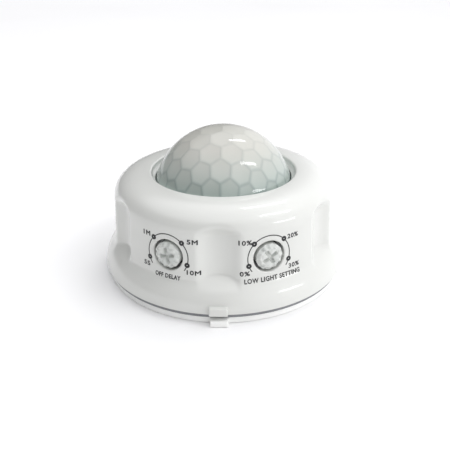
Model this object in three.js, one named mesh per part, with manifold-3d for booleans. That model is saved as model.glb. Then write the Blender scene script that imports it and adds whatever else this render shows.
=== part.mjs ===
// Ceiling motion sensor with a twist-on head, lens up.
// Millimetres, +Z up. The origin is the centre of the base plate's underside, on the lens axis.
// Azimuths are in degrees about +Z: 0 is the front (-Y, where the two tabs line up) and 90 is +X.

import * as THREE from 'three';
import { mergeVertices } from 'three/addons/utils/BufferGeometryUtils.js';
import Module from 'manifold-3d';

const wasm = await Module();
wasm.setup();

// Driving dimensions
const gap = 0.3;                // clearance left between neighbouring pieces
const wallThickness = 2.2;      // of the moulded cover
const baseRadius = 41.9;
const baseThickness = 2.3;
const gasketRadius = 42.3;
const gasketBottom = 2.4;
const gasketTop = 3.6;
const flangeRadius = 43;        // widest line of the cover, at its skirt
const coverBottom = 3.7;
const bellFoot = 4.1;           // the skirt flares out below the wall as a quarter ellipse,
const bellHeight = 11.3;        // this tall
const bellCentre = 30;          // about this radius
const wallFootRadius = 39;      // of the drafted wall, which rises out of the skirt
const wallFoot = 16.1;
const shoulderRadius = 38.4;    // where the wall turns into the rounded shoulder
const shoulderFoot = 26.84;
const rimRadius = 25.1;         // of the lens opening
const rimTop = 36.17;
const shoulderPower = 2.7;      // squareness of the shoulder's curve
const lensRadius = 24.5;
const lensCentre = 26.75;
const lensThickness = 1.2;

const fluteCount = 6;           // finger grips round the cover
const fluteAzimuth = -2.4;      // of the front one
const fluteCentre = 49;         // each is cut by an upright cylinder this far from the axis
const fluteRadius = 12.8;       // and of this radius, and its floor
const fluteRunout = 2.6;        // comes out by this much under the shoulder

const dialHeight = 20.5;
const dialHoleRadius = 5.45;
const knobRadius = 4.4;
const knobFace = 39.3;          // distance of the knob's face from the lens axis
const potFront = 33.4;
const potBack = 29;
const dials = [
  { name: 'time', azimuth: -27 },
  { name: 'dim', azimuth: 21.3 },
];

const chassisBottom = 6.8;
const chassisTop = 9.4;
const chassisRadius = 38.2;
const collarRadius = 31;        // outside of the chassis collar that carries the bayonet lugs
const bayonetAzimuths = [0, 120, 240];
const coverScrewAzimuths = [88, 148, 208, 268];
const coverScrewRadius = 34.6;
const boardRadius = 31;
const boardThickness = 1.6;
const powerBoardBottom = 10.2;
const sensorBoardBottom = 15.2;
const sensorBoardEdge = 7.5;    // y of the sensor board's straight edge
const boardScrewAzimuths = [0, 85, -85];
const boardScrewRadius = 24;
const socketRadius = 13.6;
const contactAzimuths = [0, 120, 240];
const contactNames = ['line', 'neutral', 'dimming'];
const wireEntry = { y: 22, radius: 6 };
const fixingHole = { x: 23, radius: 2 };

const degrees = (angle) => (angle * Math.PI) / 180;
const frontAngle = (azimuth) => degrees(azimuth - 90);   // azimuth to the XY plane's own angle
const powerBoardTop = powerBoardBottom + boardThickness;
const sensorBoardTop = sensorBoardBottom + boardThickness;

const finishes = {
  whitePlastic: { color: 0xf1f1ef, roughness: 0.35, metalness: 0 },
  clearPlastic: { color: 0xe4eaea, roughness: 0.12, metalness: 0 },
  lensPlastic: { color: 0xcdd6d4, roughness: 0.15, metalness: 0 },
  silicone: { color: 0x9a9c9e, roughness: 0.7, metalness: 0 },
  blackPlastic: { color: 0x26282a, roughness: 0.5, metalness: 0 },
  board: { color: 0x1f6b3c, roughness: 0.45, metalness: 0 },
  brass: { color: 0xc9a34a, roughness: 0.35, metalness: 1 },
  steel: { color: 0xb9bcc0, roughness: 0.3, metalness: 1 },
  ferrite: { color: 0x3a3a3c, roughness: 0.6, metalness: 0 },
  tape: { color: 0xd8b43a, roughness: 0.5, metalness: 0 },
  sleeve: { color: 0x1d2f55, roughness: 0.35, metalness: 0 },
  filter: { color: 0x2b2430, roughness: 0.1, metalness: 0 },
};

const sensor = new THREE.Group();

// A named piece in its own finish, in the whole sensor's frame or in a turned group
function addPiece(name, geometry, finish, parent = sensor) {
  const piece = new THREE.Mesh(geometry, new THREE.MeshStandardMaterial(finishes[finish]));
  piece.name = name;
  parent.add(piece);
  return piece;
}

// Shapes

// Turned solid about +Z. The profile runs anticlockwise in (radius, z) and closes itself.
function turned(profile, segments) {
  const points = profile.map(([radius, z]) => new THREE.Vector2(radius, z));
  const onAxis = profile[0][0] === 0 && profile[profile.length - 1][0] === 0;
  if (!onAxis) points.push(points[0].clone());
  return new THREE.LatheGeometry(points, segments).rotateX(Math.PI / 2);
}

function block(width, depth, height, x, y, bottom) {
  return new THREE.BoxGeometry(width, depth, height).translate(x, y, bottom + height / 2);
}

function rod(radius, bottom, top, x = 0, y = 0, segments = 16) {
  const profile = [[0, bottom], [radius, bottom], [radius, top], [0, top]];
  return turned(profile, segments).translate(x, y, 0);
}

function tube(innerRadius, outerRadius, bottom, top, segments) {
  const profile = [[innerRadius, bottom], [outerRadius, bottom], [outerRadius, top], [innerRadius, top]];
  return turned(profile, segments);
}

// Curved bar about the lens axis, centred on an azimuth
function arcBar(innerRadius, outerRadius, azimuth, halfAngle, bottom, top, steps = 4) {
  const from = frontAngle(azimuth - halfAngle);
  const to = frontAngle(azimuth + halfAngle);
  const outline = new THREE.Shape();
  outline.absarc(0, 0, outerRadius, from, to, false);
  outline.absarc(0, 0, innerRadius, to, from, true);
  const bar = new THREE.ExtrudeGeometry(outline, {
    depth: top - bottom, bevelEnabled: false, curveSegments: steps,
  });
  return bar.translate(0, 0, bottom);
}

const polar = (radius, azimuth) => [
  radius * Math.cos(frontAngle(azimuth)), radius * Math.sin(frontAngle(azimuth)),
];

// Solid for joining and cutting, with its seams merged and its collapsed triangles dropped
function solid(geometry) {
  const bare = new THREE.BufferGeometry();
  bare.setAttribute('position', geometry.getAttribute('position'));
  bare.setIndex(geometry.getIndex());
  const merged = mergeVertices(bare, 1e-4);
  const index = merged.getIndex().array;
  const triangles = [];
  for (let i = 0; i < index.length; i += 3) {
    const [a, b, c] = [index[i], index[i + 1], index[i + 2]];
    if (a !== b && b !== c && c !== a) triangles.push(a, b, c);
  }
  return new wasm.Manifold(new wasm.Mesh({
    numProp: 3,
    vertProperties: new Float32Array(merged.getAttribute('position').array),
    triVerts: new Uint32Array(triangles),
  }));
}

function fromSolid(manifold) {
  const mesh = manifold.getMesh();
  const geometry = new THREE.BufferGeometry();
  geometry.setAttribute('position', new THREE.BufferAttribute(mesh.vertProperties, 3));
  geometry.setIndex(new THREE.BufferAttribute(mesh.triVerts, 1));
  geometry.computeVertexNormals();
  return geometry;
}

function carve(body, added, removed) {
  let result = solid(body);
  for (const piece of added) result = result.add(solid(piece));
  for (const piece of removed) result = result.subtract(solid(piece));
  return fromSolid(result);
}

// Cover

const shoulder = (angle, inset) => [
  rimRadius + (shoulderRadius - rimRadius - inset) * Math.cos(angle) ** (2 / shoulderPower),
  shoulderFoot + (rimTop - shoulderFoot - inset) * Math.sin(angle) ** (2 / shoulderPower),
];

function bellRadius(z) {
  const t = Math.min(Math.max((z - bellFoot) / bellHeight, 0), 1);
  return bellCentre + (flangeRadius - bellCentre) * Math.sqrt(1 - t * t);
}

const wallRadius = (z) => wallFootRadius
  + (shoulderRadius - wallFootRadius) * (z - wallFoot) / (shoulderFoot - wallFoot);

// Outline of the cover's outside, from the flange up, then of its inside, back down
function coverProfile() {
  const skirt = (z) => Math.max(bellRadius(z), wallRadius(z));
  const outside = [
    [flangeRadius - 0.3, coverBottom], [flangeRadius, coverBottom + 0.3],
    ...[6.5, 9, 10.8, 12.1, 13.2, 14.2, wallFoot].map((z) => [skirt(z), z]),
    ...[0, 10, 20, 32, 46, 64, 84].map((angle) => shoulder(degrees(angle), 0)),
    [rimRadius, rimTop - 0.7],
  ];
  const inside = [
    [24.6, 34.4], [23.8, 33.8], [24.05, 33], [rimRadius, 32.2],   // lip that follows the dome
    [rimRadius, 27], [27.1, 27],                 // well wall that the lens flange bears on
    [27.1, 33.4], [29.2, 33.4],
    [29.2, 23.7], [30.6, 23.7], [30.6, 33.2],    // collar that the lens ring snaps into
    ...[52, 28, 0].map((angle) => shoulder(degrees(angle), wallThickness)),
    ...[wallFoot, 14.2, 12.4, 10.5].map((z) => [skirt(z) - wallThickness, z]),
    [flangeRadius - wallThickness, coverBottom],
  ];
  return { points: [...outside, ...inside], outsideCount: outside.length };
}

// Radius of the floor of the nearest finger grip: it leans in with the wall and runs out at the shoulder
function fluteFloor(azimuth, z) {
  const pitch = 360 / fluteCount;
  const turn = (azimuth - fluteAzimuth) / pitch;
  const fromCentre = degrees((turn - Math.round(turn)) * pitch);
  const inside = fluteRadius ** 2 - (fluteCentre * Math.sin(fromCentre)) ** 2;
  if (inside <= 0) return Infinity;
  const rise = Math.min(Math.max((z - 25.5) / 6.5, 0), 1);
  return fluteCentre * Math.cos(fromCentre) - Math.sqrt(inside) + wallRadius(z) - wallFootRadius
    + fluteRunout * rise * rise * (3 - 2 * rise);
}

// The grips are cut into both faces of the wall, but no deeper than the bell of the skirt below them
function flutedShell() {
  const { points, outsideCount } = coverProfile();
  const shell = turned(points, 72).rotateZ(degrees(fluteAzimuth));
  const position = shell.getAttribute('position');
  for (let i = 0; i < position.count; i += 1) {
    const [x, y, z] = [position.getX(i), position.getY(i), position.getZ(i)];
    const radius = Math.hypot(x, y);
    const azimuth = THREE.MathUtils.radToDeg(Math.atan2(x, -y));
    const step = i % (points.length + 1);
    const wall = step < outsideCount || step === points.length ? 0 : wallThickness;
    const floor = Math.max(fluteFloor(azimuth, z), bellRadius(z)) - wall;
    const scale = Math.min(1, floor / radius);
    position.setXYZ(i, x * scale, y * scale, z);
  }
  return shell;
}

const dialCutter = (azimuth) => turned([[0, 33], [dialHoleRadius, 33], [dialHoleRadius, 42], [0, 42]], 28)
  .rotateX(Math.PI / 2).rotateZ(degrees(azimuth)).translate(0, 0, dialHeight);

function topCover() {
  const bosses = coverScrewAzimuths.map((azimuth) => {
    const [x, y] = polar(coverScrewRadius, azimuth);
    return rod(2.6, chassisTop + gap, 26, x, y, 12);
  });
  const screwBores = coverScrewAzimuths.map((azimuth) => {
    const [x, y] = polar(coverScrewRadius, azimuth);
    return rod(1.5, chassisTop, 20, x, y, 8);
  });
  const tab = arcBar(40.6, 44.4, -2.5, 3.8, 4.55, 7.05, 3);
  return carve(flutedShell(), [...bosses, tab], [...screwBores, ...dials.map((d) => dialCutter(d.azimuth))]);
}

// Lens: a dome of even thickness on a flat flange

const lensFlange = { radius: 28.4, bottom: 25.3, top: 26.7 };

// Half outline of a sphere about the lens centre, from its equator up to the axis
function domeArc(radius, steps) {
  const points = Array.from({ length: steps }, (_, i) => {
    const angle = (Math.PI / 2) * i / steps;
    return [radius * Math.cos(angle), lensCentre + radius * Math.sin(angle)];
  });
  return [...points, [0, lensCentre + radius]];
}

function fresnelLens() {
  const { radius, bottom, top } = lensFlange;
  const innerRadius = lensRadius - lensThickness;
  const body = turned([[0, bottom], [radius, bottom], [radius, top], [lensRadius, top],
    ...domeArc(lensRadius, 9).slice(1)], 36);
  const hollow = turned([[0, bottom - 1], [innerRadius, bottom - 1], ...domeArc(innerRadius, 7)], 36);
  return carve(body, [], [hollow]);
}

// Base: plate, bayonet wall with hooks and stops, front tab, fixing holes and wire entry

function basePlate() {
  const plate = turned([[0, 0], [baseRadius - 0.3, 0], [baseRadius, 0.3], [baseRadius, baseThickness],
    [0, baseThickness]], 60);
  const wall = tube(33.6, 35.2, baseThickness - 0.2, 6.4, 48);
  const hooks = bayonetAzimuths.map((azimuth) => arcBar(31.4, 34.2, azimuth - 0.5, 11.5, 5, 6.4, 4));
  const stops = bayonetAzimuths.map((azimuth) => arcBar(31.4, 34.2, azimuth - 10.4, 1.6, 2.1, 5.2, 2));
  const tab = arcBar(40, 44.6, -2.2, 3.9, 0.25, 2.3, 3);
  const socketSeat = tube(socketRadius + 0.2, socketRadius + 1.3, baseThickness - 0.2, 4.2, 24);
  const holes = [-1, 1].map((side) => rod(fixingHole.radius, -1, 4, side * fixingHole.x, 0, 12));
  const entry = rod(wireEntry.radius, -1, 4, 0, wireEntry.y, 20);
  return carve(plate, [wall, ...hooks, ...stops, tab, socketSeat], [...holes, entry]);
}

// Grommet: a sleeve through the wire entry with a lip on the inside
function wireGrommet() {
  const lipTop = baseThickness + 1.1;
  const profile = [[4.4, 0.3], [5.8, 0.3], [5.8, baseThickness + 0.1], [6.5, baseThickness + 0.1],
    [6.5, lipTop], [4.4, lipTop]];
  return turned(profile, 20).translate(0, wireEntry.y, 0);
}

// Socket that takes the head's contact blades, with a curved slot for each blade's travel
function contactSocket() {
  const body = turned([[0, baseThickness + 0.1], [socketRadius, baseThickness + 0.1], [socketRadius, 5.6],
    [socketRadius - 0.6, 6.2], [0, 6.2]], 24);
  const slots = contactAzimuths.map((azimuth) => arcBar(8.9, 11.6, azimuth + 10, 19, 2.9, 7, 5));
  return carve(body, [], slots);
}

// Chassis: back plate of the head, with the bayonet collar below it

function chassis() {
  const plate = rod(chassisRadius, chassisBottom, chassisTop, 0, 0, 48);
  const collar = tube(29.4, collarRadius, 3, chassisBottom + 0.2, 48);
  const lugs = bayonetAzimuths.map((azimuth) => arcBar(30.4, 32.9, azimuth, 8, 3.1, 4.6, 4));
  const posts = boardScrewAzimuths.map((azimuth) => {
    const [x, y] = polar(boardScrewRadius, azimuth);
    return rod(2.6, chassisTop - 0.2, powerBoardBottom - 0.1, x, y, 10);
  });
  const pilots = boardScrewAzimuths.map((azimuth) => {
    const [x, y] = polar(boardScrewRadius, azimuth);
    return rod(1.3, 7.8, 12, x, y, 8);
  });
  const counterbores = coverScrewAzimuths.flatMap((azimuth) => {
    const [x, y] = polar(coverScrewRadius, azimuth);
    return [rod(2.7, 5, 8.3, x, y, 12), rod(1.6, 5, 12, x, y, 8)];
  });
  const bladeSlots = contactAzimuths.map((azimuth) => arcBar(9.2, 10.8, azimuth, 6.5, 5, 12, 3));
  return carve(plate, [collar, ...lugs, ...posts], [...pilots, ...counterbores, ...bladeSlots]);
}

// Round board, cut straight at edgeY where that is inside its edge, with holes for the board screws
function board(bottom, edgeY = boardRadius) {
  const outline = new THREE.Shape();
  const start = Math.PI - Math.asin(edgeY / boardRadius);
  const stride = (3 * Math.PI - 2 * start) / 4;
  for (let i = 0; i < 4; i += 1) {
    outline.absarc(0, 0, boardRadius, start + i * stride, start + (i + 1) * stride, false);
  }
  for (const azimuth of boardScrewAzimuths) {
    const [x, y] = polar(boardScrewRadius, azimuth);
    outline.holes.push(new THREE.Path().absarc(x, y, 1.4, 0, 2 * Math.PI, true));
  }
  const slab = new THREE.ExtrudeGeometry(outline, {
    depth: boardThickness, bevelEnabled: false, curveSegments: 9,
  });
  return slab.translate(0, 0, bottom);
}

// Pan-head screw with its head at the top end, cross recess left to the finish
function screw(headRadius, headHeight, shankRadius, tip, seat) {
  return turned([[0, tip], [shankRadius * 0.5, tip], [shankRadius, tip + 1], [shankRadius, seat],
    [headRadius, seat], [headRadius * 0.9, seat + headHeight * 0.75], [headRadius * 0.45, seat + headHeight],
    [0, seat + headHeight]], 9);
}

// Sensing parts on the sensor board

const pirHolder = () => turned([[0, sensorBoardTop + 0.1], [7.4, sensorBoardTop + 0.1],
  [7.4, sensorBoardTop + 1.4], [5.9, sensorBoardTop + 2.2], [5.6, 22.3], [0, 22.3]], 20);

const pirCan = () => turned([[0, 22.4], [4.75, 22.4], [4.75, 22.9], [4.2, 23.1], [4.2, 26.2], [3.8, 26.6],
  [0, 26.6]], 20);

const photodiode = () => turned([[0, sensorBoardTop + 0.1], [1.9, sensorBoardTop + 0.1],
  [1.9, sensorBoardTop + 0.9], [1.5, sensorBoardTop + 0.9], [1.5, 20.2], [1.1, 21.2], [0, 21.6]], 12)
  .translate(10.5, -7, 0);

// Supply parts on the power board

function transformerCore() {
  const body = block(15, 6, 10.6, 0, 14.3, powerBoardTop + 0.2);
  const windows = [-1, 1].map((side) => block(3.4, 8, 7.2, side * 3.9, 14.3, powerBoardTop + 1.9));
  return carve(body, [], windows);
}

function transformerWinding() {
  const coil = block(10.4, 11, 6.6, 0, 14.3, powerBoardTop + 2.2);
  return carve(coil, [], [block(4.9, 6.6, 9, 0, 14.3, powerBoardTop + 1)]);
}

const bulkCapacitor = () => turned([[0, 12], [4, 12], [4, 12.8], [3.75, 13.1], [4, 13.4], [4, 22.4],
  [3.6, 22.8], [0, 22.8]], 16).translate(-15.5, 14.5, 0);

const inputChoke = () => turned([[0, 12], [4, 12], [4, 13.2], [3.2, 13.5], [3.2, 17.6], [4, 17.9], [4, 19.1],
  [0, 19.1]], 16).translate(0, 25.4, 0);

const inputFuse = () => turned([[0, 12], [2.1, 12], [2.1, 17.6], [1.8, 18], [0, 18]], 12)
  .translate(11, 24.2, 0);

// Dials: everything is drawn with the dial's axis along -Y, then the group is turned to its azimuth

const alongFront = (geometry) => geometry.rotateX(Math.PI / 2).translate(0, 0, dialHeight);

function potentiometer() {
  const bottom = sensorBoardTop + gap;
  const body = block(9, potFront - potBack, 6.3, 0, -(potFront + potBack) / 2, bottom);
  const bore = alongFront(turned([[0, 30.2], [1.8, 30.2], [1.8, 35], [0, 35]], 12));
  return carve(body, [], [bore]);
}

// Knob: barrel with a rounded face and a cross slot, and a stem into the potentiometer
function knob() {
  const body = alongFront(turned([[0, 30.6], [1.5, 30.6], [1.5, potFront + 0.5], [knobRadius, potFront + 0.5],
    [knobRadius, knobFace - 0.5], [knobRadius - 0.5, knobFace], [0, knobFace]], 24));
  const slots = [[1.1, 5.6], [5.6, 1.1]].map(([width, height]) => block(
    width, 2, height, 0, -knobFace, dialHeight - height / 2,
  ));
  return carve(body, [], slots);
}

const dialSeal = () => alongFront(tube(knobRadius + gap, 6.3, potFront + 0.7, 35.4, 20));

// Assembly

addPiece('base_plate', basePlate(), 'whitePlastic');
addPiece('wire_grommet', wireGrommet(), 'silicone');
addPiece('contact_socket', contactSocket(), 'blackPlastic');
addPiece('cover_gasket', tube(38.6, gasketRadius, gasketBottom, gasketTop, 48), 'silicone');
addPiece('chassis', chassis(), 'whitePlastic');
addPiece('top_cover', topCover(), 'whitePlastic');
addPiece('fresnel_lens', fresnelLens(), 'lensPlastic');
addPiece('lens_ring', tube(25.4, 28.8, 23.4, 25.1, 32), 'blackPlastic');
addPiece('power_board', board(powerBoardBottom), 'board');
addPiece('sensor_board', board(sensorBoardBottom, sensorBoardEdge), 'board');

contactNames.forEach((name, i) => {
  const azimuth = contactAzimuths[i];
  addPiece(`${name}_blade`, arcBar(9.7, 10.3, azimuth, 5, 3.6, powerBoardBottom - 0.1, 3), 'brass');
  addPiece(`${name}_clip`, arcBar(10.7, 11.3, azimuth + 10, 16, 3.1, 5.9, 5), 'brass');
});

boardScrewAzimuths.forEach((azimuth, i) => {
  const [x, y] = polar(boardScrewRadius, azimuth);
  const spacer = tube(1.5, 2.6, powerBoardTop + 0.1, sensorBoardBottom - 0.1, 10).translate(x, y, 0);
  addPiece(`board_spacer_${i + 1}`, spacer, 'blackPlastic');
  const boardScrew = screw(2.2, 1.4, 1.1, 8, sensorBoardTop + 0.05).translate(x, y, 0);
  addPiece(`board_screw_${i + 1}`, boardScrew, 'steel');
});

coverScrewAzimuths.forEach((azimuth, i) => {
  const [x, y] = polar(coverScrewRadius, azimuth);
  const coverScrew = screw(2.4, 1.3, 1.3, -18, -8.2).rotateX(Math.PI).translate(x, y, 0);
  addPiece(`cover_screw_${i + 1}`, coverScrew, 'steel');
});

addPiece('pir_holder', pirHolder(), 'blackPlastic');
addPiece('pir_sensor', pirCan(), 'steel');
addPiece('pir_window', block(4.6, 3.6, 0.4, 0, 0, 26.65), 'filter');
addPiece('light_sensor', photodiode(), 'clearPlastic');
addPiece('control_chip', block(9, 7, 1.6, -14, -8, sensorBoardTop + 0.1), 'blackPlastic');
addPiece('transformer_core', transformerCore(), 'ferrite');
addPiece('transformer_winding', transformerWinding(), 'tape');
addPiece('bulk_capacitor', bulkCapacitor(), 'sleeve');
addPiece('film_capacitor', block(11, 5, 9, 16, 14, powerBoardTop + 0.2), 'tape');
addPiece('input_choke', inputChoke(), 'ferrite');
addPiece('input_fuse', inputFuse(), 'blackPlastic');

for (const { name, azimuth } of dials) {
  const dial = new THREE.Group();
  dial.rotation.z = degrees(azimuth);
  addPiece(`${name}_potentiometer`, potentiometer(), 'blackPlastic', dial);
  addPiece(`${name}_seal`, dialSeal(), 'silicone', dial);
  addPiece(`${name}_knob`, knob(), 'clearPlastic', dial);
  sensor.add(dial);
}

export default sensor;
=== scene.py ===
"""Visible model of a ceiling motion sensor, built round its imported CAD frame.

Lengths inside the classes are millimetres, in the frame's own axes: +Z along the lens axis, the front
towards -Y. Azimuths are degrees about +Z, 0 at the front and 90 at +X. Meshes are written in metres.
"""

import logging
from dataclasses import dataclass, field
from enum import Enum

import bmesh
import bpy
import numpy as np
from mathutils import Matrix, Vector


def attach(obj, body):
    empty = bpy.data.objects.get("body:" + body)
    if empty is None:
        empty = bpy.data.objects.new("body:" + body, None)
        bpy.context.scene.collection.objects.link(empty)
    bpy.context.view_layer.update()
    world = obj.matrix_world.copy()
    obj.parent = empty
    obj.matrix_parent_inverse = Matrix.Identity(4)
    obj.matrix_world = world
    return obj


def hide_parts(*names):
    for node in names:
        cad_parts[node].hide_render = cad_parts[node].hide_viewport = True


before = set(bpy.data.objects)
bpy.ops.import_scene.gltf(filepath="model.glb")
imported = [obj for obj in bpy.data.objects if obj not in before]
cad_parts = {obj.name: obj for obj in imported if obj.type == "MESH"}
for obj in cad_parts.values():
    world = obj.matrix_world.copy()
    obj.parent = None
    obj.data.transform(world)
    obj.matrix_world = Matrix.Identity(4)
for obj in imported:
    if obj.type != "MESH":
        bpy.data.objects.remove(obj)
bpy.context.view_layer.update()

LOG = logging.getLogger("motion_sensor")
MM = 0.001
Array = np.ndarray


class Body(Enum):
    """The rigid bodies of the frame that pieces ride on."""

    BASE = "base"
    HEAD = "head"
    TIME_DIAL = "time_dial"
    DIM_DIAL = "dim_dial"


class Cut(Enum):
    """What a boolean tool does to the piece it meets."""

    JOIN = "UNION"
    REMOVE = "DIFFERENCE"


# ---------------------------------------------------------------- numbers and curves


def linear(hex_colour: str) -> tuple[float, float, float, float]:
    """Turn an sRGB hex colour into linear RGBA.

    Args:
        hex_colour: Six hex digits, such as "f2f2ef".

    Returns:
        The linear red, green and blue, and an alpha of 1.
    """
    parts = [int(hex_colour[i : i + 2], 16) / 255 for i in (0, 2, 4)]
    red, green, blue = (p / 12.92 if p <= 0.04045 else ((p + 0.055) / 1.055) ** 2.4 for p in parts)
    return red, green, blue, 1.0


def smooth_step(low: float, high: float, value: Array) -> Array:
    """Rise from 0 at low to 1 at high along 3t^2 - 2t^3."""
    t = np.clip((value - low) / (high - low), 0, 1)
    return t * t * (3 - 2 * t)


def smooth_max(a: Array, b: Array, reach: float) -> Array:
    """Larger of two lengths, rounded where they differ by less than reach.

    The larger is found by mixing b towards a with h = 0.5 + (a - b) / (2 reach), held to 0..1, and
    adding the fillet reach h (1 - h).

    Args:
        a: First length.
        b: Second length.
        reach: Difference over which the corner is rounded.

    Returns:
        The rounded maximum.
    """
    h = np.clip(0.5 + (a - b) / (2 * reach), 0, 1)
    return b + (a - b) * h + reach * h * (1 - h)


def smooth_min(a: Array, b: Array, reach: float) -> Array:
    """Smaller of two lengths, rounded as in smooth_max."""
    return -smooth_max(-a, -b, reach)


def arc(centre: tuple[float, float], radius: float, start: float, end: float, count: int) -> Array:
    """Points of a circular arc in (radius, z), count of them, angles in degrees from the +radius axis."""
    angle = np.radians(np.linspace(start, end, count))
    return np.column_stack([centre[0] + radius * np.cos(angle), centre[1] + radius * np.sin(angle)])


def line(start: tuple[float, float], end: tuple[float, float], count: int) -> Array:
    """Count evenly spaced points from start to end."""
    return np.linspace(start, end, count)


# ---------------------------------------------------------------- meshes


def grid_faces(rows: int, columns: int, wrap_rows: bool, wrap_columns: bool) -> Array:
    """Quads of a grid whose vertex (i, j) has index i * columns + j.

    Each quad runs (i, j), (i, j + 1), (i + 1, j + 1), (i + 1, j), with either direction closed on itself
    where it is said to wrap.

    Args:
        rows: Number of rows.
        columns: Number of columns.
        wrap_rows: Whether the last row joins the first.
        wrap_columns: Whether the last column joins the first.

    Returns:
        An array of four vertex indices a face.
    """
    i = np.arange(rows if wrap_rows else rows - 1)[:, None]
    j = np.arange(columns if wrap_columns else columns - 1)[None, :]
    up, across = (i + 1) % rows, (j + 1) % columns
    corners = [i * columns + j, i * columns + across, up * columns + across, up * columns + j]
    return np.stack(np.broadcast_arrays(*corners), axis=-1).reshape(-1, 4)


def make_piece(name: str, points: Array, faces: Array, sharp: float = 35) -> bpy.types.Object:
    """Make a mesh object from points in millimetres, with its doubled vertices merged.

    Args:
        name: The piece's name.
        points: Vertex positions, three a row, in millimetres.
        faces: Vertex indices, three or four a face.
        sharp: Angle in degrees above which an edge is shaded sharp.

    Returns:
        The object, at the origin, with its place in its mesh.
    """
    mesh = bpy.data.meshes.new(name)
    mesh.from_pydata((np.asarray(points, float).reshape(-1, 3) * MM).tolist(), [], faces.tolist())
    merge_doubles(mesh, 2e-7)
    shade(mesh, sharp)
    piece = bpy.data.objects.new(name, mesh)
    bpy.context.scene.collection.objects.link(piece)
    return piece


def merge_doubles(mesh: bpy.types.Mesh, reach: float) -> None:
    """Merge a mesh's doubled vertices, and drop the faces that this leaves without area.

    Args:
        mesh: The mesh that is changed.
        reach: Distance in metres within which vertices are one.
    """
    work = bmesh.new()
    work.from_mesh(mesh)
    bmesh.ops.remove_doubles(work, verts=work.verts, dist=reach)
    bmesh.ops.dissolve_degenerate(work, edges=work.edges, dist=1e-8)
    work.to_mesh(mesh)
    work.free()


def shade(mesh: bpy.types.Mesh, sharp: float) -> None:
    """Shade a mesh smooth, with its sharper edges left crisp.

    Args:
        mesh: The mesh that is changed.
        sharp: Angle in degrees above which an edge is crisp.
    """
    mesh.polygons.foreach_set("use_smooth", np.ones(len(mesh.polygons), bool))
    mesh.set_sharp_from_angle(angle=np.radians(sharp))
    mesh.update()


def turned(name: str, profile: Array, segments: int = 256, sharp: float = 35) -> bpy.types.Object:
    """Turn a closed profile about the lens axis.

    Point (r, z) of the profile at azimuth a goes to (r sin a, -r cos a, z). The profile runs
    anticlockwise and closes on itself, or else starts and ends on the axis.

    Args:
        name: The piece's name.
        profile: Points of (radius, z) in millimetres.
        segments: Steps round the axis.
        sharp: Angle in degrees above which an edge is shaded sharp.

    Returns:
        The turned piece.
    """
    azimuth = np.linspace(0, 2 * np.pi, segments, endpoint=False)
    radius, z = profile[:, 0][:, None], profile[:, 1][:, None]
    points = np.stack(
        [radius * np.sin(azimuth), -radius * np.cos(azimuth), np.broadcast_to(z, (len(profile), segments))],
        axis=-1,
    )
    ring = bool(profile[0, 0] > 0 or profile[-1, 0] > 0)
    return make_piece(name, points, grid_faces(len(profile), segments, ring, True), sharp)


def arc_bar(
    name: str, radii: tuple[float, float], azimuths: tuple[float, float], heights: tuple[float, float]
) -> bpy.types.Object:
    """Make a bar that curves about the lens axis, a rectangle swept from one azimuth to the other.

    Args:
        name: The piece's name.
        radii: Inner and outer radius.
        azimuths: First and last azimuth in degrees.
        heights: Lowest and highest z.

    Returns:
        The closed bar.
    """
    steps = max(3, int(np.ceil(abs(azimuths[1] - azimuths[0]) / 1.5)))
    azimuth = np.radians(np.linspace(*azimuths, steps + 1))
    (inner, outer), (low, high) = radii, heights
    section = np.array([[inner, low], [outer, low], [outer, high], [inner, high]])
    radius, z = section[:, 0][:, None], section[:, 1][:, None]
    points = np.stack(
        [radius * np.sin(azimuth), -radius * np.cos(azimuth), np.broadcast_to(z, (4, steps + 1))], axis=-1
    )
    last = np.arange(4) * (steps + 1) + steps
    ends = np.array([np.arange(4)[::-1] * (steps + 1), last])
    faces = np.vstack([grid_faces(4, steps + 1, True, False), ends])
    return make_piece(name, points, faces)


def rounded_block(
    name: str, size: tuple[float, float, float], centre: Array, turn: float, radius: float
) -> bpy.types.Object:
    """Make a block with rounded edges and turn it about the lens axis.

    Each face of a cube is a grid of points q. A point goes to core(q) + radius * unit(q - core(q)), where
    core holds q inside the block shrunk by radius.

    Args:
        name: The piece's name.
        size: Width, depth and height.
        centre: The block's centre before it is turned.
        turn: Azimuth in degrees to turn it to.
        radius: Radius of its edges.

    Returns:
        The closed block.
    """
    half = np.array(size) / 2
    steps = np.linspace(-1, 1, 9)
    edge = np.sign(steps) * np.abs(steps) ** 0.35
    first, second = np.meshgrid(edge, edge, indexing="ij")
    points, faces = [], []
    for axis in range(3):
        for side in (-1, 1):
            sheet = np.empty((9, 9, 3))
            sheet[..., axis] = side
            sheet[..., (axis + 1) % 3] = first if side > 0 else second
            sheet[..., (axis + 2) % 3] = second if side > 0 else first
            faces.append(grid_faces(9, 9, False, False)[:, ::-1] + 81 * len(points))
            points.append(sheet.reshape(-1, 3) * half)
    cube = np.vstack(points)
    core = np.clip(cube, -(half - radius), half - radius)
    away = cube - core
    away /= np.maximum(np.linalg.norm(away, axis=1, keepdims=True), 1e-9)
    placed = core + radius * away + centre
    angle = np.radians(turn)
    spin = np.array([[np.cos(angle), -np.sin(angle), 0], [np.sin(angle), np.cos(angle), 0], [0, 0, 1]])
    piece = make_piece(name, placed @ spin.T, np.vstack(faces), sharp=60)
    face_outwards(piece)
    return piece


def face_outwards(piece: bpy.types.Object) -> None:
    """Point every face of a single closed mesh outwards.

    Args:
        piece: The piece whose faces are turned.
    """
    work = bmesh.new()
    work.from_mesh(piece.data)
    bmesh.ops.recalc_face_normals(work, faces=work.faces)
    work.to_mesh(piece.data)
    work.free()


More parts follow.
